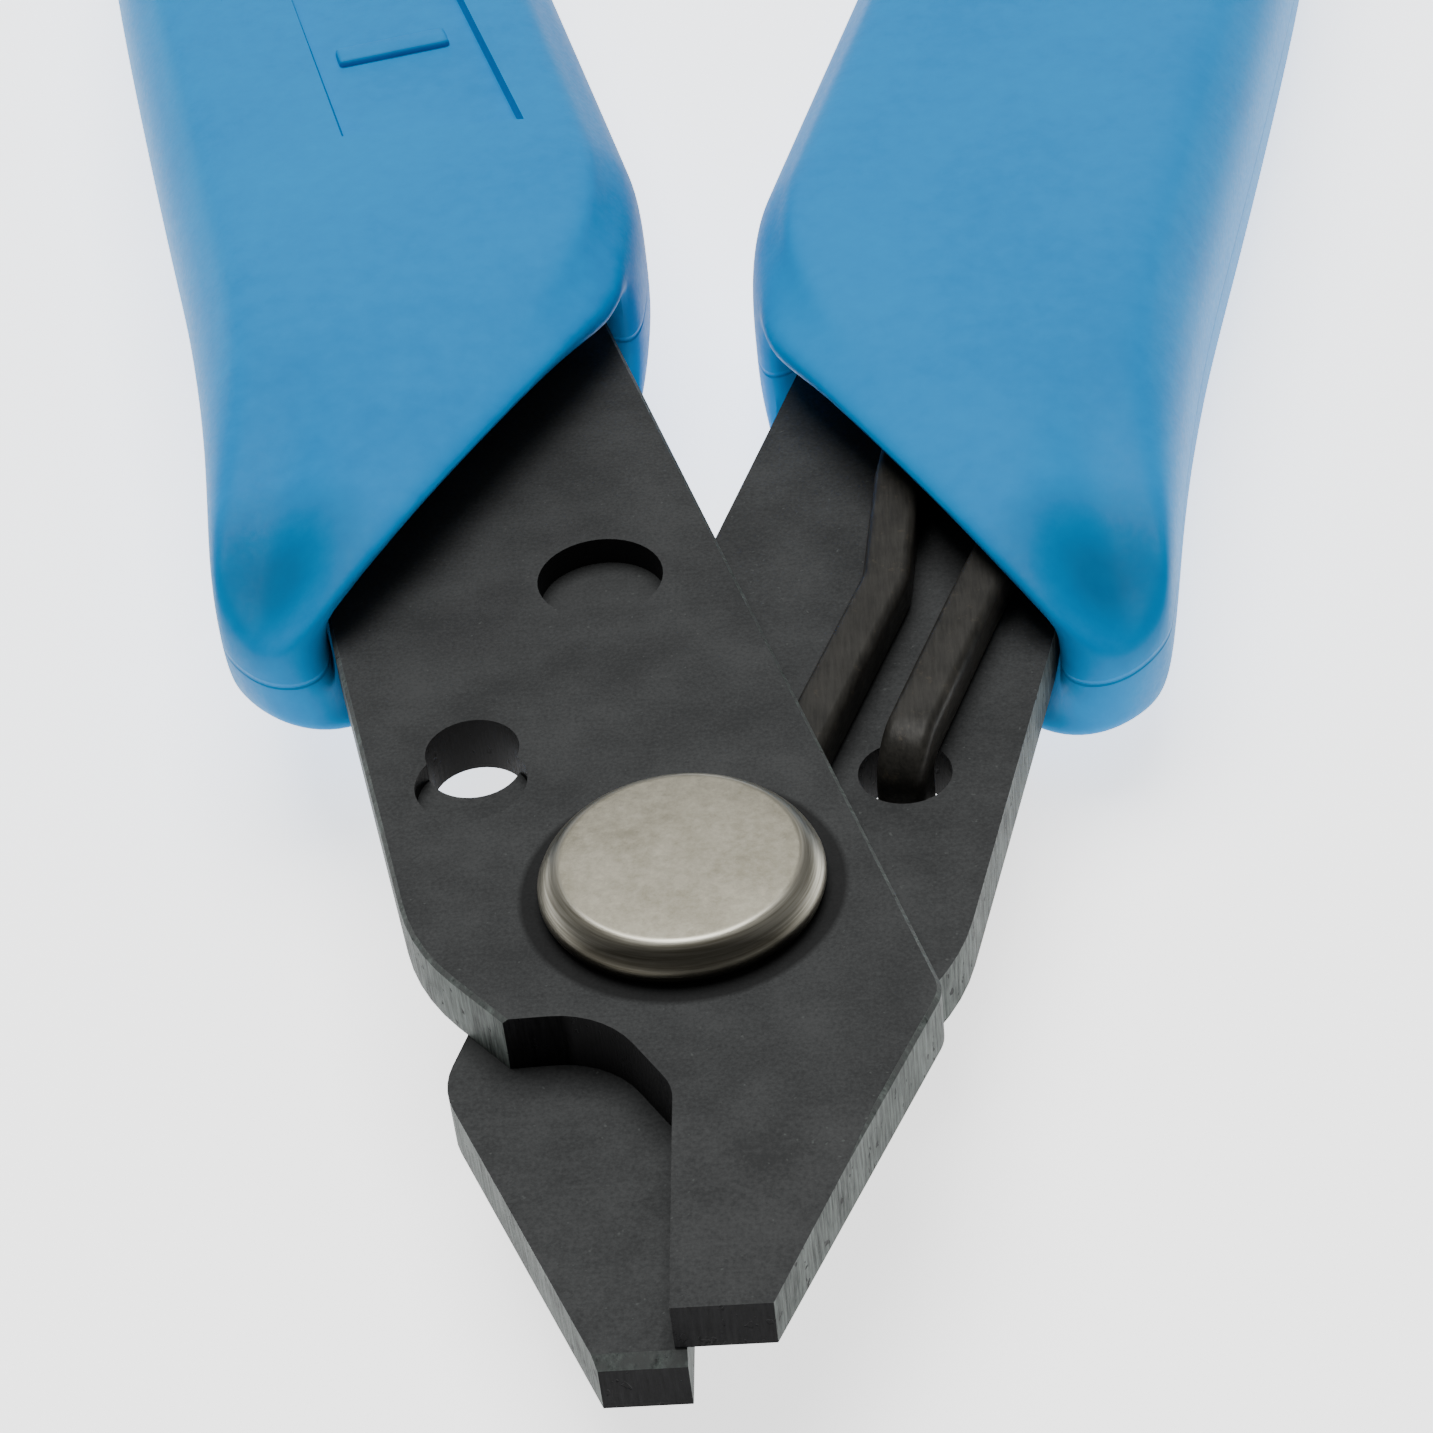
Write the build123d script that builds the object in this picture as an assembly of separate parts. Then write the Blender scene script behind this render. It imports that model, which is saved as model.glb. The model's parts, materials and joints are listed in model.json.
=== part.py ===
from build123d import *
import os

# Flush cutter: two crossed blade plates on one rivet, a hairpin return spring and two moulded grips.
# Lengths are in millimetres. Shapes are drawn about the pivot axis, with the blades' contact plane
# at height 0, the jaws toward -Y and the handles toward +Y. Each half is drawn as the upper one,
# whose handle is on the left; the lower half is drawn the same way and turned over about the Y axis.
# At the end everything is moved so that the origin is under the middle of the whole tool.

# Blade plates
plate_thickness = 1.8
contact_gap = 0.02
lower_tip_reach = 14.75
upper_tip_reach = 14.4
tip_width = 2.5
cut_overlap = 0.15
cut_end_y = -7.4
shoulder_y = -4.3
arm_lean = 0.303
upper_arm_x = 6.8
lower_arm_x = 6.16
tip_thickness = 1.45
grind_length = 6.0
nose_chamfer = 0.3
edge_break = 0.12

# Pivot rivet
rivet_shank_radius = 2.25
rivet_clearance = 0.04
rivet_head_radius = 3.9
rivet_head_height = 1.17
rivet_tail_radius = 3.5
rivet_tail_height = 1.05

# Holes and pressed features in the plates
hole_x, hole_y = -6.1, 6.25
hole_radius = 1.35
step_x, step_y = -6.05, 4.85
step_radius = 1.6
step_depth = 0.6
stop_x, stop_y = -2.7, 13.95
stop_radius = 1.9
stop_depth = 0.9
stop_root = 0.3

# Return spring, of square wire
wire_width = 1.45
wire_height = 1.35
hook_depth = 1.5
spring_gap = 0.03

# Grips
grip_reach = 112.25
grip_half_height = 4.4
grip_edge_round = 3.0
lip_half_height = 3.4
lip_slope_length = 6.0
nose_y = 10.1
nose_half_height = 1.6
nose_length = 2.3
pocket_depth = 1.7
panel_depth = 0.5
bar_height = 0.25
bar_count = 3

plate_bottom = contact_gap / 2
plate_top = plate_bottom + plate_thickness
plate_middle = plate_bottom + plate_thickness / 2
base_level = -(grip_half_height + plate_middle)
middle_y = (grip_reach - lower_tip_reach) / 2
through = 10.0

turn_over = Rot(0, 180, 0)
to_row_frame = Pos(0, -middle_y, -base_level)


def slab(face, low, high):
    """The solid over a flat outline, from one height to another."""
    return extrude(Pos(0, 0, low) * face, high - low)


def rounded_outline(corners):
    """A closed outline from (x, y, corner radius) points."""
    points = [(x, y) for x, y, radius in corners]
    radii = [radius for x, y, radius in corners]
    return make_face(FilletPolyline(*points, radius=radii, close=True))


def arm_edge_x(arm_x, y):
    """The straight inner edge of an arm, which leans from the jaw's shoulder to the grip."""
    return arm_x - arm_lean * (y - shoulder_y)


def plate_outline(reach, tip_outer_x, shoulder, arm_x):
    """One blade plate: jaw, throat, arm and the narrow tang inside the grip."""
    return rounded_outline([
        (-cut_overlap, -reach, 0),
        (tip_outer_x, -reach, 0),
        shoulder,
        (arm_edge_x(arm_x, 28.0), 28.0, 6.0),
        (-7.6, 40.0, 20.0),
        (-11.6, 53.0, 30.0),
        (-15.4, 69.0, 30.0),
        (-17.0, 83.0, 20.0),
        (-17.0, 94.0, 2.5),
        (-22.8, 94.0, 2.5),
        (-22.7, 80.0, 30.0),
        (-20.4, 62.0, 40.0),
        (-16.6, 44.0, 40.0),
        (-13.0, 25.0, 20.0),
        (-10.75, 12.2, 12.0),
        (-7.3, -1.75, 7.0),
        (-4.65, -4.68, 0),
        (-2.0, -4.6, 2.6),
        (-cut_overlap, cut_end_y, 1.4),
    ])


def break_outer_edges(plate):
    """Takes the sharpness off the outer face's rim, but leaves the cutting edge sharp."""
    rim = plate.faces().sort_by(Axis.Z)[-1].outer_wire().edges()
    dull = [edge for edge in rim if edge.center().Y > shoulder_y - 0.2 or edge.center().X > 0.6]
    return chamfer(dull, edge_break)


def tip_grind(reach):
    """The wedge ground off a jaw's outer face, deepest at the tip."""
    drop = plate_thickness - tip_thickness
    side = make_face(Polyline(
        (grind_length - reach, 0),
        (-reach - 1, 0),
        (-reach - 1, -drop * (grind_length + 1) / grind_length),
        close=True,
    ))
    return Pos(0, 0, plate_top) * extrude(Plane.YZ * side, 20, both=True)


def upper_blade():
    """The plate with the left arm and the right jaw, with the pressed stop and a stepped hole."""
    outline = plate_outline(upper_tip_reach, tip_width - cut_overlap, (6.85, -4.45, 1.2), upper_arm_x)
    plate = break_outer_edges(slab(outline, plate_bottom, plate_top))
    plate -= tip_grind(upper_tip_reach)
    plate -= Cylinder(rivet_shank_radius + rivet_clearance, through)
    plate -= Pos(hole_x, hole_y) * Cylinder(hole_radius, through)
    plate -= Pos(step_x, step_y) * slab(Circle(step_radius), plate_top - step_depth, through)
    plate -= Pos(stop_x, stop_y) * slab(Circle(stop_radius), plate_top - stop_depth, through)
    boss = slab(Circle(stop_radius), plate_bottom - stop_depth, plate_bottom + stop_root)
    return plate + Pos(stop_x, stop_y) * boss


def lower_blade():
    """The plate with the right arm and the left jaw, drawn as an upper one and turned over."""
    outline = plate_outline(lower_tip_reach, tip_width - 3 * cut_overlap, (6.45, -5.25, 2.2), lower_arm_x)
    plate = break_outer_edges(slab(outline, plate_bottom, plate_top))
    plate -= Cylinder(rivet_shank_radius, through)
    plate -= Pos(hole_x, hole_y) * Cylinder(hole_radius, through)
    nose_edge = plate.edges().filter_by(Axis.X).group_by(Axis.Y)[0].sort_by(Axis.Z)[0]
    return turn_over * chamfer(nose_edge, nose_chamfer)


def pivot_rivet():
    """A flat-headed rivet with a round rim, and a slightly smaller formed tail."""
    head_bottom = plate_top + contact_gap
    head = slab(Circle(rivet_head_radius), head_bottom, head_bottom + rivet_head_height)
    head = fillet(head.edges(), rivet_head_height * 0.48)
    tail = slab(Circle(rivet_tail_radius), -plate_top - rivet_tail_height, -plate_top)
    tail = fillet(tail.edges().sort_by(Axis.Z)[0], rivet_tail_height * 0.6)
    shank = slab(Circle(rivet_shank_radius), -plate_top - rivet_tail_height / 2, head_bottom + 0.5)
    return shank + head + tail


def return_spring():
    """A hooked leg, a loop inside the right grip, and a leg that pushes the upper arm open."""
    path = FilletPolyline(
        (-hole_x, hole_y),
        (8.35, 12.6),
        (11.6, 21.4),
        (10.9, 25.6),
        (7.5, 25.4),
        (6.35, 19.0),
        (5.85, 13.9),
        (3.2, 6.4),
        radius=[12.0, 2.0, 1.9, 1.9, 20.0, 2.2],
    )
    low = -plate_bottom
    wire = slab(trace(path, wire_width), low, low + wire_height)
    hook = Box(wire_width, wire_height, wire_height + hook_depth, align=(Align.CENTER, Align.CENTER, Align.MAX))
    hook = Pos(-hole_x, hole_y, low + wire_height) * hook
    bend = hook.edges().filter_by(Axis.X).group_by(Axis.Z)[-1].sort_by(Axis.Y)[0]
    hook = fillet(bend, wire_height / 2)
    near, far = -6.0, 30.0
    arm_side = make_face(Polyline(
        (arm_edge_x(upper_arm_x, near) + spring_gap, near),
        (arm_edge_x(upper_arm_x, far) + spring_gap, far),
        (-20, far),
        (-20, near),
        close=True,
    ))
    return wire - slab(arm_side, -through, through) + hook


def grip_outline():
    """The grip seen from above: a diagonal front, a round nose and a bowed handle."""
    return rounded_outline([
        (-2.5, 25.3, 0),
        (-1.7, 33.5, 9.0),
        (-6.4, 52.5, 300.0),
        (-11.9, 72.0, 140.0),
        (-13.7, 96.0, 60.0),
        (-16.2, grip_reach, 3.6),
        (-24.9, grip_reach, 3.6),
        (-27.9, 86.0, 110.0),
        (-25.3, 61.0, 150.0),
        (-16.2, 25.0, 100.0),
        (-14.2, nose_y, 2.6),
        (-10.2, nose_y, 0),
    ])


def lip_slope():
    """What is taken off above the diagonal front, so that the grip slopes down to a thin lip."""
    inner = Vector(-2.5, 25.3, plate_middle)
    outer = Vector(-10.2, nose_y, plate_middle)
    along = (inner - outer).normalized()
    inward = Vector(-along.Y, along.X, 0)
    fall = (grip_half_height - lip_half_height) / lip_slope_length
    side = make_face(Polyline(
        (-2, lip_half_height - 2 * fall),
        (lip_slope_length, grip_half_height),
        (lip_slope_length, grip_half_height + 1),
        (-2, grip_half_height + 1),
        close=True,
    ))
    plane = Plane(origin=(inner + outer) * 0.5, x_dir=inward, z_dir=inward.cross(Vector(0, 0, 1)))
    return extrude(plane * side, 9.5, both=True)


def grip_panel():
    """The shallow tapered recess on one face of the grip, with plain bars left standing in it."""
    recess = rounded_outline([
        (-11.9, 35.9, 0.5),
        (-5.9, 35.9, 0.5),
        (-12.4, 66.0, 1.5),
        (-20.4, 66.0, 1.5),
    ])
    face_level = plate_middle + grip_half_height
    cut = slab(recess, face_level - panel_depth, face_level + 1)
    for bar in range(bar_count):
        place = Pos(-11.2 - 2.1 * bar, 43.5 + 7.5 * bar, face_level - panel_depth)
        cut -= place * Rot(0, 0, 15) * slab(Rectangle(5.0, 1.2), 0, bar_height)
    return cut


def grip(plate):
    """One moulded grip, as the left one, with a pocket over and under the plate at its front."""
    middle = Pos(0, 0, plate_middle)
    body = slab(grip_outline(), plate_middle - grip_half_height, plate_middle + grip_half_height)
    flat_rims = body.edges().filter_by(Plane.XY)
    body = fillet([edge for edge in flat_rims if edge.center().X < -10.2 or edge.center().Y > 26], grip_edge_round)
    nose_block = Box(8, 8, 8, align=(Align.MAX, Align.MAX, Align.MIN))
    above = Pos(-10.45, nose_y + nose_length, nose_half_height) * nose_block
    for cut in (above, middle.inverse() * lip_slope()):
        body -= middle * cut
        body -= middle * mirror(cut, Plane.XY)
    pocket = rounded_outline([
        (-1.0, 22.0, 0),
        (-4.2, 25.5, 1.0),
        (-5.3, 29.0, 1.5),
        (-12.9, 29.0, 1.5),
        (-13.0, 18.0, 3.0),
        (-11.3, 12.6, 1.0),
        (-9.5, 8.5, 0),
    ])
    reach = plate_thickness / 2 + pocket_depth
    body -= slab(pocket, plate_middle - reach, plate_middle + reach)
    return body - grip_panel() - plate


upper_plate = upper_blade()
lower_plate = lower_blade()

nodes = {
    "upper_blade": upper_plate,
    "lower_blade": lower_plate,
    "pivot_rivet": pivot_rivet(),
    "return_spring": return_spring(),
    "left_grip": grip(upper_plate),
    "right_grip": turn_over * grip(turn_over * lower_plate),
}

os.makedirs("parts", exist_ok=True)
for name, solid in nodes.items():
    export_step(to_row_frame * solid, f"parts/{name}.step")
    box = (to_row_frame * solid).bounding_box()
    print(name, round(solid.volume, 1), "mm3, from", box.min, "to", box.max)
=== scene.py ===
import bpy
import bmesh
import json
import math
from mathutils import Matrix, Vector


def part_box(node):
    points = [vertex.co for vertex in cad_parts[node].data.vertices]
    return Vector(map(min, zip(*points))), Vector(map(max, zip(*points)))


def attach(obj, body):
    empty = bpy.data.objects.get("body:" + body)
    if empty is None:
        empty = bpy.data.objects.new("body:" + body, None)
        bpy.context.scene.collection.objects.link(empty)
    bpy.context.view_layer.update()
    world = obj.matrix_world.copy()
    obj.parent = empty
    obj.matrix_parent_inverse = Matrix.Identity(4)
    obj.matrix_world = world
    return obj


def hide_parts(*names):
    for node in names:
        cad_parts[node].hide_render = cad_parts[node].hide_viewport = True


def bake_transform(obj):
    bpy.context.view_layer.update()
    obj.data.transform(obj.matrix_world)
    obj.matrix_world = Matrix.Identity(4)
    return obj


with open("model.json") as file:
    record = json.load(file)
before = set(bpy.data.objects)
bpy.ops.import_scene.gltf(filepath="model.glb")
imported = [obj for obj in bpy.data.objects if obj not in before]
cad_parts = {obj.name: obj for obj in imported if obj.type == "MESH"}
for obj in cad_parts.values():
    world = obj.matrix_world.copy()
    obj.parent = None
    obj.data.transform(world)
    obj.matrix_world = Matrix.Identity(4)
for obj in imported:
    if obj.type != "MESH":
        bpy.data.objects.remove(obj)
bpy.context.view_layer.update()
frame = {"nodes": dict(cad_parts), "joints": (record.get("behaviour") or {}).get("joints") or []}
mm = 0.001
pivot = Vector(frame["joints"][0]["pos_m"])
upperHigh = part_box("upper_blade")[1]
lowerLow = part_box("lower_blade")[0]
rivetLow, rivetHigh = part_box("pivot_rivet")
print("frame loaded, pivot at", tuple(pivot))

# All shapes below are drawn in millimetres about the rivet's axis, with the jaws toward -Y,
# and spot() puts them in place.

def spot(x, y, z):
    return pivot + Vector((x, y, z)) * mm


def startPiece(name):
    piece = bpy.context.object
    piece.name = name
    piece.data.name = name
    bpy.ops.object.mode_set(mode="EDIT")
    return piece


def endPiece(piece):
    if bpy.context.mode != "OBJECT":
        bpy.ops.object.mode_set(mode="OBJECT")
    bpy.ops.object.select_all(action="DESELECT")
    piece.select_set(True)
    bpy.context.view_layer.objects.active = piece
    bpy.ops.object.transform_apply(location=True, rotation=True, scale=True)


def pickVerts(piece, wanted):
    bpy.ops.mesh.select_mode(type="VERT")
    bpy.ops.mesh.select_all(action="DESELECT")
    shell = bmesh.from_edit_mesh(piece.data)
    for vert in shell.verts:
        vert.select_set(bool(wanted(vert)))
    shell.select_flush_mode()
    bmesh.update_edit_mesh(piece.data)


def pickFaces(piece, wanted):
    bpy.ops.mesh.select_mode(type="FACE")
    bpy.ops.mesh.select_all(action="DESELECT")
    shell = bmesh.from_edit_mesh(piece.data)
    for face in shell.faces:
        face.select_set(bool(wanted(face)))
    bmesh.update_edit_mesh(piece.data)


def pickedVerts(piece):
    shell = bmesh.from_edit_mesh(piece.data)
    return [(vert.index, vert.co.copy()) for vert in shell.verts if vert.select]


def shiftVerts(piece, chosen, offset):
    chosen = set(chosen)
    pickVerts(piece, lambda vert: vert.index in chosen)
    bpy.ops.transform.translate(value=offset)


def applyModifier(piece, kind, **settings):
    modifier = piece.modifiers.new(kind.lower(), kind)
    for key, value in settings.items():
        setattr(modifier, key, value)
    bpy.context.view_layer.objects.active = piece
    bpy.ops.object.modifier_apply(modifier=modifier.name)


cameraSet = {
    "place": (0.00699173, -0.11810385, 0.07057455),
    "turn": (50.2073, 5.0186, 0.42245),
    "lens": 87.927,
    "sensor": 36,
    "clipStart": 0.005,
}


def makeCamera():
    data = bpy.data.cameras.new("benchCamera")
    data.lens = cameraSet["lens"]
    data.sensor_width = cameraSet["sensor"]
    data.clip_start = cameraSet["clipStart"]
    camera = bpy.data.objects.new("benchCamera", data)
    camera.location = cameraSet["place"]
    camera.rotation_euler = [math.radians(angle) for angle in cameraSet["turn"]]
    bpy.context.scene.collection.objects.link(camera)
    bpy.context.scene.camera = camera


lightSet = {
    "floorSize": 3,
    "floorDrop": 0.0002,    # how far the floor lies under the tool, clear of its lowest faces
    "floorShade": 0.92,
    "floorRoughness": 0.8,
    "floorGlow": 1.9,
    "world": 0.22,
    "softboxes": {
        "behind": {"place": (-0.05, 0.12, 0.62), "size": 0.48, "power": 5.6},
        "backdrop": {"place": (0.0, 0.90, 0.30), "size": 1.1, "power": 2.2},
    },
}


def makeStage():
    bpy.ops.object.select_all(action="DESELECT")
    bpy.ops.mesh.primitive_plane_add(size=lightSet["floorSize"], location=(0, 0, -lightSet["floorDrop"]))
    floor = bpy.context.object
    floor.name = "paleFloor"
    finish = bpy.data.materials.new("floorWhite")
    finish.use_nodes = True
    shader = finish.node_tree.nodes["Principled BSDF"]
    shade = lightSet["floorShade"]
    shader.inputs["Base Color"].default_value = (shade, shade, shade, 1)
    shader.inputs["Roughness"].default_value = lightSet["floorRoughness"]
    shader.inputs["Emission Color"].default_value = (1, 1, 1, 1)
    shader.inputs["Emission Strength"].default_value = lightSet["floorGlow"]
    floor.data.materials.append(finish)
    sky = bpy.data.worlds.new("studioRoom")
    sky.use_nodes = True
    sky.node_tree.nodes["Background"].inputs["Color"].default_value = (1, 1, 1, 1)
    sky.node_tree.nodes["Background"].inputs["Strength"].default_value = lightSet["world"]
    bpy.context.scene.world = sky
    for name, values in lightSet["softboxes"].items():
        data = bpy.data.lights.new(name + "Softbox", "AREA")
        data.energy = values["power"]
        data.size = values["size"]
        lamp = bpy.data.objects.new(name + "Softbox", data)
        lamp.location = values["place"]
        aim = pivot - Vector(values["place"])
        lamp.rotation_euler = aim.to_track_quat("-Z", "Y").to_euler()
        bpy.context.scene.collection.objects.link(lamp)


makeCamera()
makeStage()
print("camera, floor and lights ready")


rivetSet = {
    "sides": 128,
    "hub": 0.9,             # radius of the first and last rings
    "flatRadius": 3.28,     # flat top of the head
    "flatRing": 0.12,       # a ring just inside the flat's edge, which keeps the edge crisp
    "crown": 0.03,
    "shoulderSteps": 10,
    "clearance": 0.02,      # between the head and the plate
    "wall": (0.42, 0.26, 0.12),     # heights over the plate of the widest ring and the two under it
    "undercut": 0.05,
    "foot": 3.72,           # where the head meets the plate
    "shankRadius": 2.25,
    "tailRadius": 3.5,
    "tailFlat": 2.9,
    "tailWall": 0.25,
    "tailSteps": 6,
    "creaseAngle": 38,
}


def makeRivet():
    middle = (rivetLow + rivetHigh) / 2
    headRadius = (rivetHigh.x - rivetLow.x) / 2 / mm
    top = (rivetHigh.z - pivot.z) / mm
    seat = (upperHigh.z - pivot.z) / mm + rivetSet["clearance"]
    bottom = (rivetLow.z - pivot.z) / mm
    tailSeat = (lowerLow.z - pivot.z) / mm
    widest, lower, lowest = (seat + height for height in rivetSet["wall"])
    profile = [(rivetSet["hub"], top)]
    profile.append((rivetSet["flatRadius"] - rivetSet["flatRing"], top - rivetSet["crown"] / 2))
    profile.append((rivetSet["flatRadius"], top - rivetSet["crown"]))
    for step in range(1, rivetSet["shoulderSteps"] + 1):
        # halfway between a straight chamfer and a round shoulder
        share = step / rivetSet["shoulderSteps"]
        outward = (share + math.sin(math.pi / 2 * share)) / 2
        upward = (1 - share + math.cos(math.pi / 2 * share)) / 2
        radius = rivetSet["flatRadius"] + (headRadius - rivetSet["flatRadius"]) * outward
        profile.append((radius, widest + (top - rivetSet["crown"] - widest) * upward))
    profile.append((headRadius, lower))
    profile.append((headRadius - rivetSet["undercut"], lowest))
    profile.append((rivetSet["foot"], seat))
    profile.append((rivetSet["shankRadius"], seat))
    profile.append((rivetSet["shankRadius"], tailSeat))
    profile.append((rivetSet["tailRadius"], tailSeat))
    tailTop = tailSeat - rivetSet["tailWall"]
    for step in range(rivetSet["tailSteps"] + 1):
        angle = math.pi / 2 * step / rivetSet["tailSteps"]
        radius = rivetSet["tailFlat"] + (rivetSet["tailRadius"] - rivetSet["tailFlat"]) * math.cos(angle)
        profile.append((radius, tailTop + (bottom - tailTop) * math.sin(angle)))
    profile.append((rivetSet["hub"], bottom))
    bpy.ops.object.select_all(action="DESELECT")
    start = Vector((middle.x, middle.y, pivot.z + profile[0][1] * mm))
    bpy.ops.mesh.primitive_circle_add(
        vertices=rivetSet["sides"], radius=profile[0][0] * mm, location=start, fill_type="NGON")
    piece = startPiece("turnedRivet")
    bpy.ops.mesh.select_mode(type="EDGE")
    bpy.ops.mesh.select_all(action="SELECT")
    last = profile[0]
    for radius, height in profile[1:]:
        bpy.ops.mesh.extrude_edges_move(TRANSFORM_OT_translate={"value": (0, 0, (height - last[1]) * mm)})
        scale = radius / last[0]
        bpy.ops.transform.resize(value=(scale, scale, 1), center_override=start)
        last = (radius, height)
    bpy.ops.mesh.edge_face_add()
    bpy.ops.mesh.select_all(action="SELECT")
    bpy.ops.mesh.normals_make_consistent(inside=False)
    endPiece(piece)
    bpy.ops.object.shade_smooth_by_angle(angle=math.radians(rivetSet["creaseAngle"]))
    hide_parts("pivot_rivet")
    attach(piece, "lower_half")
    return piece


springSet = {
    "width": 1.45,
    "height": 1.35,
    "edgeRound": 0.3,
    "hookDepth": 1.72,
    "hookBend": 0.95,
    "hookSteps": 10,
    "stepAngle": 6,
    "roundSegments": 4,
    "weld": 0.000002,
    "creaseAngle": 35,
    "rise": 0.665,          # middle of the wire above the contact plane
    "hookLeg": [(6.1, 6.25, 0), (8.35, 12.6, 12.0), (11.6, 21.4, 2.0), (10.9, 25.6, 1.9), (7.5, 25.4, 1.9),
                (6.6, 20.4, 0)],
    "pushLeg": [(6.6, 20.4, 0), (6.35, 19.0, 0), (5.85, 13.9, 2.2), (2.2, 3.6, 0)],
    "armEdge": ((6.83, -4.3), (0.303, 1.0)),    # a point and the lean of the upper arm's inner edge
    "bendStart": (5.6, 15.5),
    "bendEnd": (3.2, 6.4),
}


def drawWire(route):
    # runs straight to each corner's tangent point, then spins round the corner
    here = Vector(route[0][:2])
    for index in range(1, len(route)):
        corner = Vector(route[index][:2])
        heading = (corner - here).normalized()
        bend = 0
        cut = 0
        if index < len(route) - 1:
            onward = (Vector(route[index + 1][:2]) - corner).normalized()
            bend = math.atan2(heading.x * onward.y - heading.y * onward.x, heading.dot(onward))
            cut = route[index][2] * math.tan(abs(bend) / 2)
        run = (corner - here).length - cut
        step = heading * run * mm
        bpy.ops.mesh.extrude_region_move(TRANSFORM_OT_translate={"value": (step.x, step.y, 0)})
        here = corner - heading * cut
        if route[index][2] > 0:
            side = Vector((-heading.y, heading.x)) * (1 if bend > 0 else -1)
            centre = here + side * route[index][2]
            steps = max(2, round(math.degrees(abs(bend)) / springSet["stepAngle"]))
            bpy.ops.mesh.spin(steps=steps, angle=bend, center=spot(centre.x, centre.y, 0), axis=(0, 0, -1))
            here = corner + onward * cut


def finishWire(piece):
    bpy.ops.mesh.select_mode(type="VERT")
    bpy.ops.mesh.select_all(action="SELECT")
    bpy.ops.mesh.remove_doubles(threshold=springSet["weld"])
    bpy.ops.mesh.normals_make_consistent(inside=False)
    endPiece(piece)
    bpy.ops.object.shade_smooth_by_angle(angle=math.radians(springSet["creaseAngle"]))


def headingOf(route):
    return (Vector(route[1][:2]) - Vector(route[0][:2])).normalized()


def startWire(name, place, tilt, route):
    # the wire's rounded square section, facing along the route
    heading = headingOf(route)
    bpy.ops.object.select_all(action="DESELECT")
    turn = (tilt, 0, math.atan2(heading.y, heading.x) - math.pi / 2)
    bpy.ops.mesh.primitive_plane_add(size=1, location=place, rotation=turn)
    piece = bpy.context.object
    piece.scale = (springSet["width"] * mm, springSet["height"] * mm, 1)
    endPiece(piece)
    startPiece(name)
    bpy.ops.mesh.select_mode(type="VERT")
    bpy.ops.mesh.select_all(action="SELECT")
    bpy.ops.mesh.bevel(
        offset=springSet["edgeRound"] * mm, segments=springSet["roundSegments"], affect="VERTICES")
    bpy.ops.mesh.select_mode(type="FACE")
    bpy.ops.mesh.select_all(action="SELECT")
    return piece


def makeHookLeg():
    # up out of the lower plate's hole, round the bend, back along the arm and round the loop
    route = springSet["hookLeg"]
    heading = headingOf(route)
    foot = spot(route[0][0], route[0][1], -springSet["hookDepth"])
    piece = startWire("springHookLeg", foot, 0, route)
    climb = springSet["hookDepth"] + springSet["rise"] - springSet["hookBend"]
    bpy.ops.mesh.extrude_region_move(TRANSFORM_OT_translate={"value": (0, 0, climb * mm)})
    bendMiddle = Vector(route[0][:2]) + heading * springSet["hookBend"]
    bpy.ops.mesh.spin(
        steps=springSet["hookSteps"], angle=math.pi / 2, axis=(heading.y, -heading.x, 0),
        center=spot(bendMiddle.x, bendMiddle.y, springSet["rise"] - springSet["hookBend"]))
    drawWire([(bendMiddle.x, bendMiddle.y, 0)] + route[1:])
    finishWire(piece)
    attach(piece, "lower_half")
    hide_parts("return_spring")
    return piece


def makePushLeg():
    # from the loop to the toe, which is cut off flush with the upper arm's edge
    route = springSet["pushLeg"]
    piece = startWire("springPushLeg", spot(*route[0][:2], springSet["rise"]), math.pi / 2, route)
    drawWire(route)
    bpy.ops.mesh.select_all(action="SELECT")
    edgePoint, lean = springSet["armEdge"]
    bpy.ops.mesh.bisect(
        plane_co=spot(*edgePoint, 0), plane_no=(lean[1], lean[0], 0), use_fill=True, clear_inner=True)
    finishWire(piece)
    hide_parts("return_spring")
    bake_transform(piece)
    return piece


rivet = makeRivet()
print("rivet turned")
hookLeg = makeHookLeg()
pushLeg = makePushLeg()
print("spring bent")

# Both grips are drawn as the left one. The right one is mirrored across the tool, and has its panel
# underneath.

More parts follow.
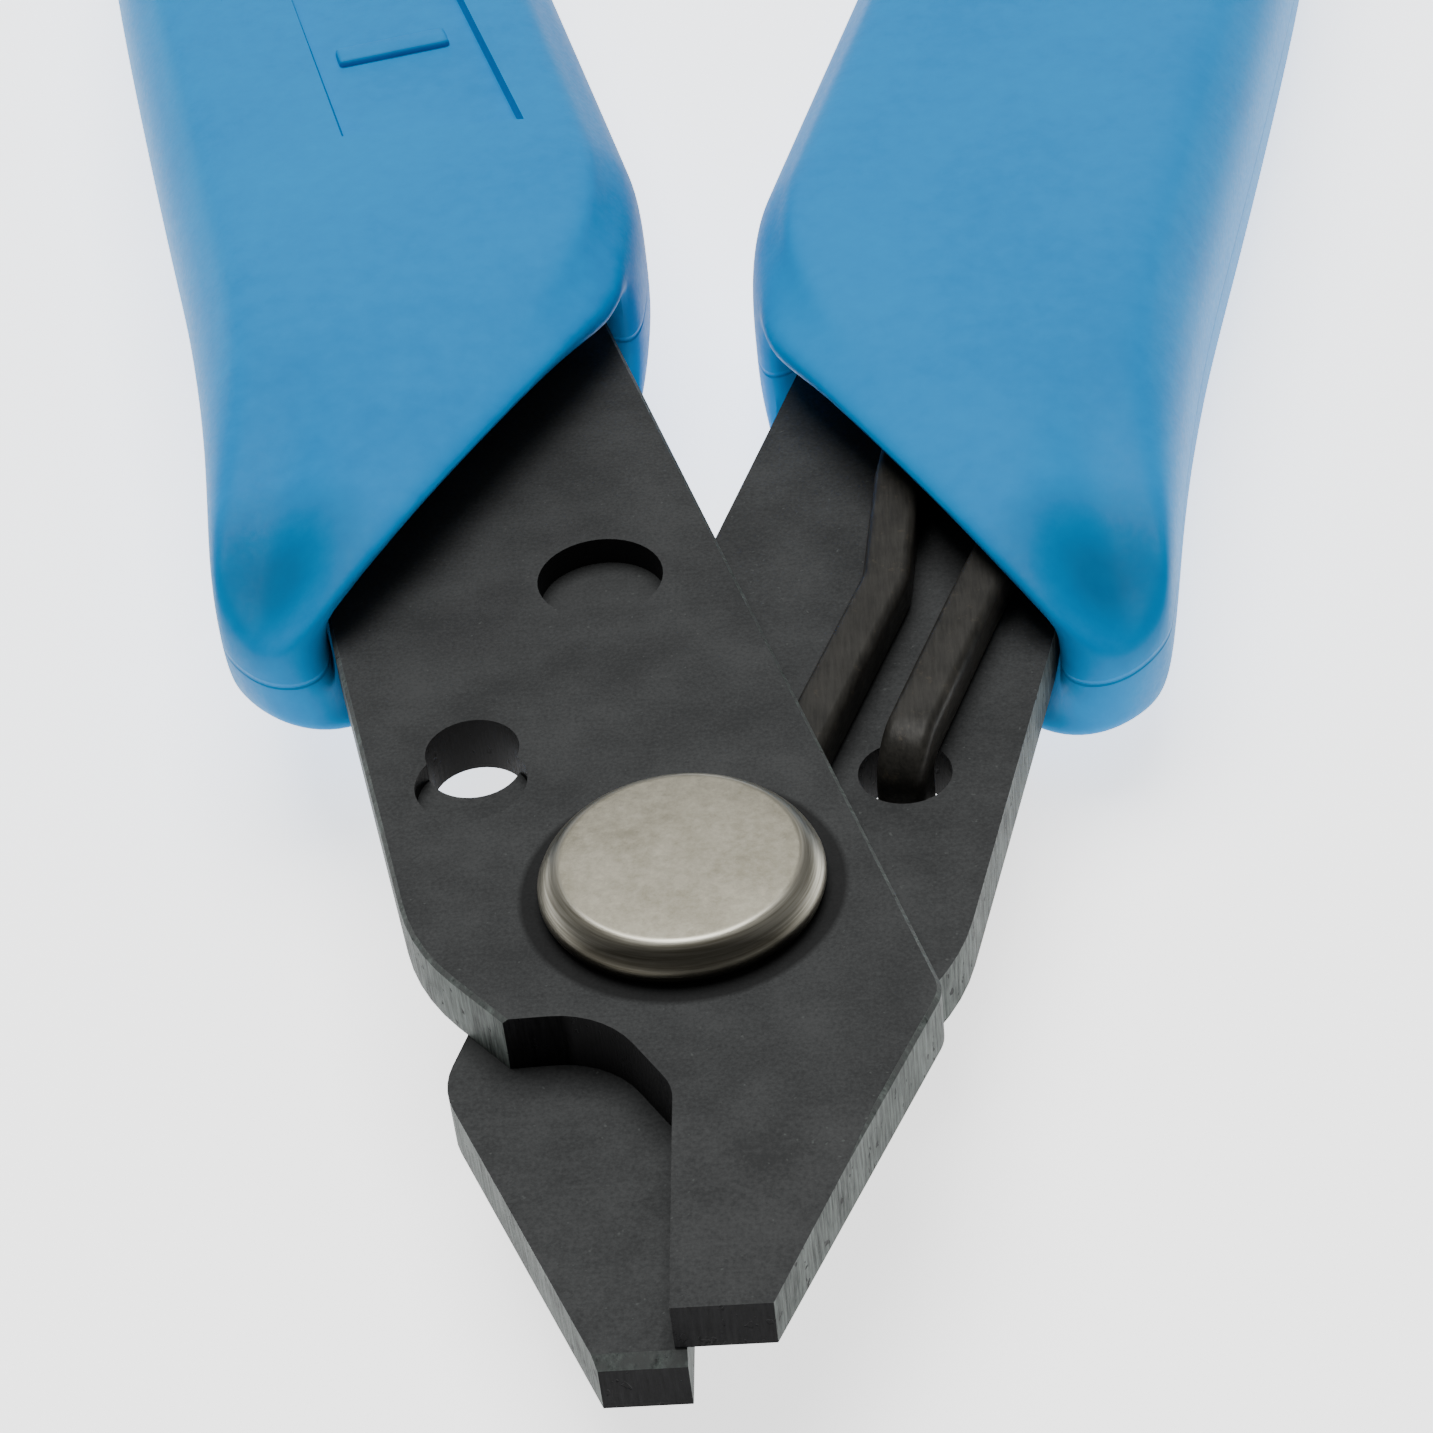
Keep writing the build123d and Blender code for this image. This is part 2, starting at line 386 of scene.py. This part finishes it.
gripShape = {
    "spread": (0.0, 0.12, 0.26, 0.385, 0.80, 0.90, 1.0),    # where the lengthwise edges cross the grip
    "levels": (1, 0.5, 0, -0.5, -1),    # rows round the side, from the top to the underside
    "side": 2.5,            # height of the side's edge above and below the parting line
    "sideShare": 0.6,       # and no more than this much of the half height
    "cornerIn": 1.15,
    "cornerShare": 0.085,   # and no more than this much of the width
    "cornerDown": 0.75,
    "fullHeight": 4.3,
    "heelShare": 0.8,
    # outer edge, inner edge and half height across the handle, from the lip to the heel
    "stations": [
        ((-14.15, 12.3), (-2.0, 27.4), 3.45),
        ((-14.40, 13.6), (-1.85, 28.4), 3.65),
        ((-14.85, 16.4), (-1.75, 30.2), 4.20),
        ((-15.55, 21.5), (-1.75, 32.4), 4.39),
        ((-16.95, 28.5), (-1.95, 34.3), 4.40),
        ((-18.60, 34.9), (-2.20, 35.3), 4.39),
        ((-21.25, 45.8), (-4.85, 46.0), 4.39),
        ((-23.60, 56.0), (-7.35, 56.0), 4.39),
        ((-25.40, 66.0), (-10.00, 66.0), 4.39),
        ((-26.65, 76.0), (-11.75, 76.0), 4.39),
        ((-27.20, 86.0), (-12.75, 86.0), 4.40),
        ((-26.80, 96.0), (-13.60, 96.0), 4.40),
        ((-26.05, 104.0), (-14.70, 104.0), 4.35),
        ((-25.50, 109.4), (-15.60, 109.4), 4.10),
        ((-24.90, 111.7), (-16.30, 111.7), 3.30),
        ((-23.60, 112.2), (-17.60, 112.2), 2.20),
    ],
    # the diagonal mouth, which the plate comes out of, from the nose's inner corner to the inner side
    "mouth": [(-10.30, 10.90), (-8.00, 15.05), (-5.40, 19.75), (-3.75, 22.80), (-2.75, 24.75)],
    "behindMouth": [(-11.05, 12.3), (-8.95, 16.0), (-6.35, 20.6), (-4.45, 24.1), (-2.00, 27.0)],
    "pocketBack": [(-11.7, 15.4), (-12.6, 21.0), (-11.2, 27.6), (-7.0, 29.3), (-4.6, 29.8)],
    "pocketTaper": (0.9, 0.9, 0.9, 0.9, 1.2),
    # along the mouth's edge: heights, and shifts from the mouth's line, for the rows that follow it
    "mouthRows": {
        1: ((2.75, 3.3, 3.42, 3.42, 3.2), ((0, 0.25), (0, 0), (0, 0), (0, 0), (0, 0))),
        0.5: ((1.95, 2.6, 2.62, 2.55, 1.7), ((0, 0.2), (0, 0), (0, 0), (0, 0), (0.35, 0.9))),
        0: ((0, 0, 0, 0, 0), ((0, 0), (0, 0), (0, 0), (0, 0), (0.7, 2.6))),
    },
    # the nose's outer corner and front: shifts per row, and shares of the ledge's or keel's height
    "noseCorner": (0.25, 0.4, 1.1),
    "noseFront": (-12.5, 10.42),
    "noseBack": 0.55,
    "noseShares": {1: 0.95, 0.5: 1.2, 0: 0},
    # the two rows behind the front, where the top dips: places, rises over the ledge, and heights
    "dishPlaces": {1: {0: (-13.95, 13.9), 1: (-12.5, 12.6), 2: (-10.95, 12.75)}, 2: {1: (-13.0, 15.0)}},
    "dishRises": {0: 1.15, 1: -0.35},
    "dishHeights": {
        1: {2: (3.05, 3.1), 6: (3.1, 3.1)},
        2: {0: (3.35, 3.35), 1: (2.7, 2.7), 2: (3.95, 3.95), 6: (3.5, 3.5)},
    },
    "mouthFaces": {"height": 2.2, "seam": 0.2, "outer": -10.2, "back": 28.5, "off": 1.2, "upright": 0.5},
    "smoothing": 3,
    "creaseAngle": 30,
    "panelTop": 4.39,
    "panelDepth": 0.5,
    "panelLean": 0.12,
    "panelFront": ((-11.90, 35.1), (-5.65, 35.4)),
    "panelBack": ((-19.9, 64.0), (-13.9, 63.2)),
    "barSize": (4.0, 1.1, 0.5),
    "barFirst": (-10.75, 41.8),
    "barStep": (-2.05, 7.2),
    "barTurn": 15,
    "barRound": 0.16,
    "bars": 3,
}

gripSet = {
    "left": {"side": 1, "body": "upper_half", "node": "left_grip", "panel": 1,
             "ledge": 1.05, "keel": 1.75, "level": 0.91},
    "right": {"side": -1, "body": "lower_half", "node": "right_grip", "panel": -1,
              "ledge": 0.85, "keel": 2.35, "level": -0.91},
}


def straightBar(columns, rows, lengths):
    # a plain bar on a 1 mm lattice, so that each crossing of its edges can be found by place
    bpy.ops.object.select_all(action="DESELECT")
    bpy.ops.mesh.primitive_grid_add(x_subdivisions=columns - 1, y_subdivisions=rows - 1, size=1)
    piece = startPiece("gripBar")
    bpy.ops.mesh.select_all(action="SELECT")
    bpy.ops.transform.resize(value=((columns - 1) * mm, (rows - 1) * mm, 1), center_override=(0, 0, 0))
    bpy.ops.transform.translate(value=((columns - 1) / 2 * mm, -(rows - 1) / 2 * mm, 0))
    bpy.ops.transform.rotate(value=-math.pi / 2, orient_axis="X", center_override=(0, 0, 0))
    for step in range(lengths - 1):
        bpy.ops.mesh.extrude_region_move(TRANSFORM_OT_translate={"value": (0, mm, 0)})
    return piece


def latticeOf(piece):
    shell = bmesh.from_edit_mesh(piece.data)
    return {(round(v.co.x / mm), round(v.co.y / mm), round(abs(v.co.z) / mm)): (v.index, v.co.copy())
            for v in shell.verts}


def sendTo(piece, lattice, key, target):
    index, place = lattice[key]
    shiftVerts(piece, [index], Vector(target) * mm - place)


def stationPoint(station, column):
    outer, inner, height = gripShape["stations"][station]
    share = gripShape["spread"][column]
    return (outer[0] + (inner[0] - outer[0]) * share, outer[1] + (inner[1] - outer[1]) * share, height)


def handlePoint(column, station, up):
    lastColumn = len(gripShape["spread"]) - 1
    x, y, height = stationPoint(station, column)
    z = height * up
    if abs(up) == 0.5:
        z = math.copysign(min(gripShape["side"], height * gripShape["sideShare"]), up)
    if station <= 1 and column >= 2:
        x, y = (gripShape["mouth"], gripShape["behindMouth"])[station][column - 2]
    if abs(up) == 1 and column in (0, lastColumn) and station > 1:
        width = stationPoint(station, lastColumn)[0] - stationPoint(station, 0)[0]
        inward = min(gripShape["cornerIn"], gripShape["cornerShare"] * width)
        x += inward if column == 0 else -inward
        z -= gripShape["cornerDown"] * min(1, height / gripShape["fullHeight"]) * up
    if station == len(gripShape["stations"]) - 1 and abs(up) == 1:
        z *= gripShape["heelShare"]
    return x, y, z


def frontPoint(column, up, x, y, dish):
    if column == 0:
        inward, back, share = gripShape["noseCorner"]
        return (x + inward * abs(up), y + back * abs(up), dish * share * up)
    if column == 1:
        frontX, frontY = gripShape["noseFront"]
        back = gripShape["noseBack"] * max(0, abs(up) - 0.5)
        return (frontX, frontY + back, dish * gripShape["noseShares"][abs(up)] * up)
    heights, shifts = gripShape["mouthRows"][abs(up)]
    shift = shifts[column - 2]
    return (x + shift[0], y + shift[1], math.copysign(heights[column - 2], up))


def dishPoint(column, station, up, point, dish):
    x, y, z = point
    x, y = gripShape["dishPlaces"][station].get(column, (x, y))
    if station == 1 and column in gripShape["dishRises"]:
        z = (dish + gripShape["dishRises"][column]) * up
    elif column in gripShape["dishHeights"][station]:
        over, under = gripShape["dishHeights"][station][column]
        z = over if up > 0 else -under
    return x, y, z


def shapeBar(piece, ledge, keel):
    lattice = latticeOf(piece)
    for column, station, row in list(lattice):
        up = gripShape["levels"][row]
        dish = ledge if up > 0 else keel
        point = handlePoint(column, station, up)
        if station == 0:
            point = frontPoint(column, up, point[0], point[1], dish)
        elif station <= 2 and abs(up) == 1:
            point = dishPoint(column, station, up, point, dish)
        sendTo(piece, lattice, (column, station, row), point)


def hollowMouth(piece):
    # the pocket over and under the plate, from the mouth back into the moulding
    mouth = gripShape["mouth"]
    pickFaces(piece, faceInMouth)
    bpy.ops.mesh.extrude_region_move(TRANSFORM_OT_translate={"value": (0, 0, 0)})
    for index, place in pickedVerts(piece):
        near = min(range(len(mouth)), key=lambda k: abs(place.x / mm - mouth[k][0]))
        x, y = gripShape["pocketBack"][near]
        z = place.z * gripShape["pocketTaper"][near]
        shiftVerts(piece, [index], Vector((x * mm, y * mm, z)) - place)


def faceInMouth(face):
    limits = gripShape["mouthFaces"]
    centre = face.calc_center_median() / mm
    if centre.x < limits["outer"] or centre.y > limits["back"]:
        return False
    first = Vector(gripShape["mouth"][0])
    along = Vector(gripShape["mouth"][-1]) - first
    toFace = centre.xy - first
    depth = (along.x * toFace.y - along.y * toFace.x) / along.length
    level = limits["seam"] < abs(centre.z) <= limits["height"]
    return level and abs(depth) < limits["off"] and abs(face.normal.z) < limits["upright"]


def cutPanel(piece, panelSide):
    # a sharp-cornered sunk panel along the handle, cut with a tapered block
    top = gripShape["panelTop"] * panelSide
    floor = top - gripShape["panelDepth"] * panelSide
    front, back = gripShape["panelFront"], gripShape["panelBack"]
    bpy.ops.object.select_all(action="DESELECT")
    bpy.ops.mesh.primitive_cube_add(size=2)
    cutter = startPiece("panelCutter")
    for index, place in pickedVerts(cutter):
        end = front if place.y < 0 else back
        x, y = end[0] if place.x < 0 else end[1]
        deep = place.z * panelSide < 0
        lean = gripShape["panelLean"] * (1 if deep else -1)
        x += lean * (1 if place.x < 0 else -1)
        y += lean * (1 if place.y < 0 else -1)
        z = floor if deep else floor + 2 * gripShape["panelDepth"] * panelSide
        shiftVerts(cutter, [index], Vector((x, y, z)) * mm - place)
    bpy.ops.mesh.select_all(action="SELECT")
    bpy.ops.mesh.normals_make_consistent(inside=False)
    endPiece(cutter)
    applyModifier(piece, "BOOLEAN", operation="DIFFERENCE", object=cutter, solver="EXACT")
    bpy.data.objects.remove(cutter)


def makeBar(number, panelSide):
    # one of the plain raised bars that fill the panel
    floor = gripShape["panelTop"] - gripShape["panelDepth"]
    first, step = gripShape["barFirst"], gripShape["barStep"]
    place = Vector((first[0] + step[0] * number, first[1] + step[1] * number, floor * panelSide)) * mm
    turn = math.radians(gripShape["barTurn"])
    bpy.ops.object.select_all(action="DESELECT")
    bpy.ops.mesh.primitive_cube_add(size=1, location=place, rotation=(0, 0, turn))
    bar = bpy.context.object
    bar.scale = Vector(gripShape["barSize"]) * mm
    endPiece(bar)
    bpy.ops.object.mode_set(mode="EDIT")
    bpy.ops.mesh.select_all(action="SELECT")
    bpy.ops.mesh.bevel(offset=gripShape["barRound"] * mm, segments=3, affect="EDGES")
    endPiece(bar)
    return bar


def makeGrip(name):
    values = gripSet[name]
    piece = straightBar(*(len(gripShape[key]) for key in ("spread", "levels", "stations")))
    shapeBar(piece, values["ledge"], values["keel"])
    bpy.ops.mesh.select_all(action="SELECT")
    bpy.ops.mesh.normals_make_consistent(inside=False)
    hollowMouth(piece)
    endPiece(piece)
    applyModifier(piece, "SUBSURF", levels=gripShape["smoothing"])
    cutPanel(piece, values["panel"])
    bars = [makeBar(number, values["panel"]) for number in range(gripShape["bars"])]
    bpy.ops.object.select_all(action="DESELECT")
    for part in bars + [piece]:
        part.select_set(True)
    bpy.context.view_layer.objects.active = piece
    bpy.ops.object.join()
    piece.name = name + "GripMoulding"
    piece.data.name = piece.name
    bpy.ops.object.mode_set(mode="EDIT")
    bpy.ops.mesh.select_all(action="SELECT")
    bpy.ops.transform.resize(value=(values["side"], 1, 1), center_override=(0, 0, 0))
    bpy.ops.transform.translate(value=spot(0, 0, values["level"]))
    bpy.ops.mesh.normals_make_consistent(inside=False)
    endPiece(piece)
    bpy.ops.object.shade_smooth_by_angle(angle=math.radians(gripShape["creaseAngle"]))
    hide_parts(values["node"])
    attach(piece, values["body"])
    return piece


leftGrip = makeGrip("left")
rightGrip = makeGrip("right")
print("grips moulded")


# Patterns are laid in object space, in metres, so they stay on the metal and plastic when the tool opens.

def newFinish(name):
    finish = bpy.data.materials.new(name)
    finish.use_nodes = True
    return finish, finish.node_tree.nodes["Principled BSDF"]


def addNode(finish, kind, **settings):
    node = finish.node_tree.nodes.new(kind)
    for key, value in settings.items():
        if key in node.inputs:
            node.inputs[key].default_value = value
        else:
            setattr(node, key, value)
    return node


def link(finish, source, target):
    finish.node_tree.links.new(source, target)


def ramp(finish, source, stops):
    node = addNode(finish, "ShaderNodeValToRGB")
    while len(node.color_ramp.elements) < len(stops):
        node.color_ramp.elements.new(0.5)
    for element, (place, shade) in zip(node.color_ramp.elements, stops):
        element.position = place
        element.color = (*shade, 1) if isinstance(shade, tuple) else (shade, shade, shade, 1)
    link(finish, source, node.inputs["Fac"])
    return node.outputs["Color"]


def noise(finish, vector, scale, detail=4, roughness=0.55):
    node = addNode(finish, "ShaderNodeTexNoise", Scale=scale, Detail=detail, Roughness=roughness)
    link(finish, vector, node.inputs["Vector"])
    return node.outputs["Fac"]


def stretched(finish, vector, scale, turn=(0, 0, 0)):
    node = addNode(finish, "ShaderNodeMapping")
    node.inputs["Scale"].default_value = scale
    node.inputs["Rotation"].default_value = turn
    link(finish, vector, node.inputs["Vector"])
    return node.outputs["Vector"]


def math2(finish, operation, first, second):
    node = addNode(finish, "ShaderNodeMath", operation=operation)
    for socket, value in zip(node.inputs, (first, second)):
        if isinstance(value, (int, float)):
            socket.default_value = value
        else:
            link(finish, value, socket)
    return node.outputs[0]


def spread(finish, value, low, high, toLow=0.0, toHigh=1.0):
    node = addNode(finish, "ShaderNodeMapRange")
    node.inputs["From Min"].default_value = low
    node.inputs["From Max"].default_value = high
    node.inputs["To Min"].default_value = toLow
    node.inputs["To Max"].default_value = toHigh
    link(finish, value, node.inputs["Value"])
    return node.outputs["Result"]


def blendColour(finish, share, first, second):
    node = addNode(finish, "ShaderNodeMix", data_type="RGBA")
    link(finish, share, node.inputs["Factor"])
    for socket, value in ((node.inputs[6], first), (node.inputs[7], second)):
        if isinstance(value, tuple):
            socket.default_value = (*value, 1)
        else:
            link(finish, value, socket)
    return node.outputs[2]


def weighted(finish, *parts):
    total = None
    for value, weight in parts:
        part = math2(finish, "MULTIPLY", value, weight)
        total = part if total is None else math2(finish, "ADD", total, part)
    return total


def both(finish, first, second):
    return math2(finish, "MULTIPLY", first, second)


def nearAxis(finish, place, centre, outer, inner):
    # 1 inside an upright cylinder about centre, fading to 0 between its two radii
    node = addNode(finish, "ShaderNodeVectorMath", operation="DISTANCE")
    node.inputs[1].default_value = (centre[0], centre[1], 0)
    link(finish, stretched(finish, place, (1, 1, 0)), node.inputs[0])
    return spread(finish, node.outputs["Value"], outer, inner)


def addBump(finish, shader, height, strength, distance):
    bump = addNode(finish, "ShaderNodeBump", Strength=strength, Distance=distance)
    link(finish, height, bump.inputs["Height"])
    link(finish, bump.outputs["Normal"], shader.inputs["Normal"])


steelSet = {
    "faceDark": (0.0265, 0.0275, 0.0277),
    "faceLight": (0.0455, 0.0471, 0.0471),
    # rub marks on the faces, and edge breaks lightened partly by wear and partly as painted highlight
    "wearAndEdgeHighlight": (0.060, 0.064, 0.062),
    "sideDark": (0.014, 0.0165, 0.0155),
    "sideLight": (0.108, 0.124, 0.116),
    "pit": (0.012, 0.013, 0.013),
    # near-black painted shade on the tip ends that face forward, with lighter grinding lines
    "tipShadeDark": (0.0022, 0.0022, 0.0025),
    "tipShadeLight": (0.0075, 0.0075, 0.0082),
    # painted shade on the walls of the holes and recesses
    "holeShade": (0.015, 0.015, 0.0155),
    # painted shadow round the rivet's head: its colour, reach and share
    "rivetShadow": (0.0045, 0.0045, 0.0045),
    "rivetShadowReach": 4.35,
    "rivetShadowShare": 0.75,
    "fade": 1.04,           # how far a hole's or ring's edge fades, over its radius
    "metallic": 0.1,
    "specular": 0.06,
    "bump": 0.6,
    "bumpDepth": 0.00002,
}


def bladeSteel(name, holes):
    finish, shader = newFinish(name)
    coords = addNode(finish, "ShaderNodeTexCoord")
    place = coords.outputs["Object"]
    axes = addNode(finish, "ShaderNodeSeparateXYZ")
    link(finish, coords.outputs["Normal"], axes.inputs[0])
    upright = math2(finish, "ABSOLUTE", axes.outputs["Z"], 0)
    isFace = spread(finish, upright, 0.80, 0.93)
    notFace = math2(finish, "SUBTRACT", 1.0, isFace)
    isBreak = both(finish, spread(finish, upright, 0.50, 0.62), spread(finish, upright, 0.93, 0.80))
    facesTip = spread(finish, axes.outputs["Y"], -0.90, -0.97)
    isTip = both(finish, facesTip, spread(finish, upright, 0.9, 0.8))
    # oxide on the broad faces: cloudy, with a fine grain and the odd rub mark
    cloud = noise(finish, place, 420, detail=5)
    grain = noise(finish, place, 9000, detail=3, roughness=0.7)
    rolled = noise(finish, stretched(finish, place, (700, 6500, 700), (0, 0, 0.29)), 1.0, detail=3)
    mixed = weighted(finish, (cloud, 0.45), (grain, 0.47), (rolled, 0.08))
    face = ramp(finish, mixed, [(0.40, steelSet["faceDark"]), (0.62, steelSet["faceLight"])])
    speck = ramp(finish, noise(finish, place, 5200, detail=1), [(0.73, 0.0), (0.80, 1.0)])
    face = blendColour(finish, speck, face, steelSet["wearAndEdgeHighlight"])
    # painted shadow: a thin dark ring round the rivet's head, where its shade falls on the plate
    reach = steelSet["rivetShadowReach"] * mm
    rivetShadow = nearAxis(finish, place, pivot, reach * steelSet["fade"], reach)
    face = blendColour(finish, both(finish, rivetShadow, steelSet["rivetShadowShare"]), face, steelSet["rivetShadow"])
    # sheared walls: upright tearing marks and dark pits
    tears = noise(finish, stretched(finish, place, (7500, 7500, 750)), 1.0, detail=4, roughness=0.65)
    drift = noise(finish, place, 900, detail=3)
    torn = weighted(finish, (tears, 0.7), (drift, 0.3))
    side = ramp(finish, torn, [(0.34, steelSet["sideDark"]), (0.64, steelSet["sideLight"])])
    pits = ramp(finish, noise(finish, stretched(finish, place, (3600, 3600, 2400)), 1.0, detail=2),
                [(0.655, 0.0), (0.69, 1.0)])
    side = blendColour(finish, pits, side, steelSet["pit"])
    # ground tip ends: fine lines across the wheel's path, on a near-black tone that is painted shade on
    # the ends facing forward
    lines = noise(finish, stretched(finish, place, (9500, 900, 900)), 1.0, detail=3, roughness=0.7)
    tip = ramp(finish, lines, [(0.35, steelSet["tipShadeDark"]), (0.72, steelSet["tipShadeLight"])])
    colour = blendColour(finish, isTip, side, tip)
    colour = blendColour(finish, isFace, colour, face)
    # edge breaks lightened in patches: partly worn bare steel, partly painted highlight along the edges
    wearAndHighlightPatches = spread(finish, noise(finish, place, 2600, detail=3), 0.35, 0.6)
    colour = blendColour(finish, both(finish, isBreak, wearAndHighlightPatches), colour, steelSet["wearAndEdgeHighlight"])
    # the walls inside the holes and recesses are painted dark as shade
    for centre, radius in holes:
        inHole = both(finish, nearAxis(finish, place, centre, radius * steelSet["fade"], radius), notFace)
        colour = blendColour(finish, inHole, colour, steelSet["holeShade"])
    link(finish, colour, shader.inputs["Base Color"])
    rough = weighted(finish, (spread(finish, mixed, 0.35, 0.65, 0.56, 0.44), 1), (notFace, 0.06))
    link(finish, rough, shader.inputs["Roughness"])
    shader.inputs["Metallic"].default_value = steelSet["metallic"]
    shader.inputs["Specular IOR Level"].default_value = steelSet["specular"]
    roughSide = weighted(finish, (tears, 2.4), (pits, -1.6))
    height = weighted(finish, (grain, 0.35), (rolled, 0.05), (both(finish, roughSide, notFace), 1))
    addBump(finish, shader, height, steelSet["bump"], steelSet["bumpDepth"])
    return finish


nickelSet = {
    "flatDark": (0.180, 0.168, 0.128),
    "flatLight": (0.290, 0.274, 0.220),
    "roundDark": (0.21, 0.195, 0.150),
    "roundLight": (0.56, 0.54, 0.46),
    # painted reflection: the rivet's side darkened toward the jaws, where it mirrors the dark plate
    "frontReflectionDark": (0.020, 0.017, 0.011),
    "frontReflectionShare": 0.85,
    "bump": 0.45,
    "bumpDepth": 0.00002,
}


def rivetNickel():
    finish, shader = newFinish("rivetNickel")
    coords = addNode(finish, "ShaderNodeTexCoord")
    place = coords.outputs["Object"]
    axes = addNode(finish, "ShaderNodeSeparateXYZ")
    link(finish, coords.outputs["Normal"], axes.inputs[0])
    isFlat = spread(finish, math2(finish, "ABSOLUTE", axes.outputs["Z"], 0), 0.955, 0.985)
    mottle = noise(finish, place, 3200, detail=5, roughness=0.7)
    cloud = noise(finish, place, 600, detail=3)
    mixed = weighted(finish, (mottle, 0.6), (cloud, 0.4))
    flat = ramp(finish, mixed, [(0.36, nickelSet["flatDark"]), (0.64, nickelSet["flatLight"])])
    # the turned side shows fine rings round it, and is painted darker toward the jaws as a painted
    # reflection of the dark plate
    rings = noise(finish, stretched(finish, place, (300, 300, 16000)), 1.0, detail=3, roughness=0.6)
    side = ramp(finish, rings, [(0.30, nickelSet["roundDark"]), (0.75, nickelSet["roundLight"])])
    front = both(finish, spread(finish, axes.outputs["Y"], -0.35, -0.68), nickelSet["frontReflectionShare"])
    side = blendColour(finish, front, side, nickelSet["frontReflectionDark"])
    link(finish, blendColour(finish, isFlat, side, flat), shader.inputs["Base Color"])
    shader.inputs["Metallic"].default_value = 1.0
    rough = weighted(finish, (spread(finish, isFlat, 0, 1, 0.30, 0.46), 1), (mixed, 0.12))
    link(finish, rough, shader.inputs["Roughness"])
    height = weighted(finish, (both(finish, mottle, isFlat), 1), (rings, 0.3))
    addBump(finish, shader, height, nickelSet["bump"], nickelSet["bumpDepth"])
    return finish


wireSet = {
    "dark": (0.0135, 0.0128, 0.0110),
    "light": (0.0340, 0.0322, 0.0280),
    "rub": (0.060, 0.050, 0.036),
    "metallic": 0.15,
    "specular": 0.12,
    "bump": 0.5,
    "bumpDepth": 0.00002,
}


def springWire():
    finish, shader = newFinish("springWire")
    place = addNode(finish, "ShaderNodeTexCoord").outputs["Object"]
    along = stretched(finish, place, (8000, 800, 8000), (0, 0, 0.33))
    drawn = noise(finish, along, 1.0, detail=4, roughness=0.65)
    mixed = weighted(finish, (drawn, 0.55), (noise(finish, place, 900, detail=4), 0.45))
    colour = ramp(finish, mixed, [(0.35, wireSet["dark"]), (0.65, wireSet["light"])])
    rub = ramp(finish, noise(finish, place, 2200, detail=4, roughness=0.7), [(0.60, 0.0), (0.74, 0.7)])
    link(finish, blendColour(finish, rub, colour, wireSet["rub"]), shader.inputs["Base Color"])
    shader.inputs["Metallic"].default_value = wireSet["metallic"]
    shader.inputs["Specular IOR Level"].default_value = wireSet["specular"]
    link(finish, spread(finish, mixed, 0.3, 0.7, 0.46, 0.32), shader.inputs["Roughness"])
    addBump(finish, shader, mixed, wireSet["bump"], wireSet["bumpDepth"])
    return finish


plasticSet = {
    "deep": (0.0, 0.185, 0.475),
    "main": (0.0, 0.220, 0.535),
    "worn": (0.0, 0.245, 0.575),
    "seamOuter": 0.000112,
    "seamInner": 0.000028,
    "seamShare": 0.55,
    # painted shade in the dish over the nose: its colour and share
    "dishShade": (0.0, 0.055, 0.115),
    "dishShadeShare": 0.6,
    "dishAt": (-12.3, 13.4),
    "dishReach": (3.6, 0.6),
    "specular": 0.07,
    "bump": 0.5,
    "bumpDepth": 0.00003,
}


def gripPlastic(name, key):
    values = gripSet[key]
    finish, shader = newFinish(name)
    place = addNode(finish, "ShaderNodeTexCoord").outputs["Object"]
    drift = noise(finish, place, 120, detail=3)
    fleck = noise(finish, place, 1500, detail=4, roughness=0.6)
    mixed = weighted(finish, (drift, 0.6), (fleck, 0.4))
    stops = [(0.30, plasticSet["deep"]), (0.52, plasticSet["main"]), (0.74, plasticSet["worn"])]
    colour = ramp(finish, mixed, stops)
    # the mould's parting line, at half height all round
    axes = addNode(finish, "ShaderNodeSeparateXYZ")
    link(finish, place, axes.inputs[0])
    level = spot(0, 0, values["level"]).z
    off = math2(finish, "ABSOLUTE", math2(finish, "SUBTRACT", axes.outputs["Z"], level), 0)
    seam = spread(finish, off, plasticSet["seamOuter"], plasticSet["seamInner"])
    colour = blendColour(finish, both(finish, seam, plasticSet["seamShare"]), colour, plasticSet["deep"])
    # painted shade in the dish over the nose
    x, y = plasticSet["dishAt"]
    outer, inner = plasticSet["dishReach"]
    dishShade = nearAxis(finish, place, spot(x * values["side"], y, 0), outer * mm, inner * mm)
    dishShade = both(finish, dishShade, plasticSet["dishShadeShare"])
    link(finish, blendColour(finish, dishShade, colour, plasticSet["dishShade"]), shader.inputs["Base Color"])
    pebble = noise(finish, place, 5200, detail=3, roughness=0.6)
    sink = noise(finish, place, 260, detail=1)
    link(finish, spread(finish, pebble, 0.3, 0.7, 0.40, 0.54), shader.inputs["Roughness"])
    shader.inputs["Specular IOR Level"].default_value = plasticSet["specular"]
    height = weighted(finish, (pebble, 0.18), (sink, 0.35), (seam, -3.2))
    addBump(finish, shader, height, plasticSet["bump"], plasticSet["bumpDepth"])
    return finish


def dress(piece, finish):
    piece.data.materials.clear()
    piece.data.materials.append(finish)


holeSet = {
    "upper": [((-6.1, 6.25), 1.42), ((-6.05, 4.85), 1.67), ((-2.7, 13.95), 1.98), ((-1.9, -7.6), 3.05)],
    "lower": [((6.1, 6.25), 1.42)],
}


def holesOf(which):
    return [(spot(x, y, 0), radius * mm) for (x, y), radius in holeSet[which]]


dress(frame["nodes"]["upper_blade"], bladeSteel("upperBladeSteel", holesOf("upper")))
dress(frame["nodes"]["lower_blade"], bladeSteel("lowerBladeSteel", holesOf("lower")))
dress(rivet, rivetNickel())
wire = springWire()
dress(hookLeg, wire)
dress(pushLeg, wire)
dress(leftGrip, gripPlastic("leftGripPlastic", "left"))
dress(rightGrip, gripPlastic("rightGripPlastic", "right"))
print("finishes laid")
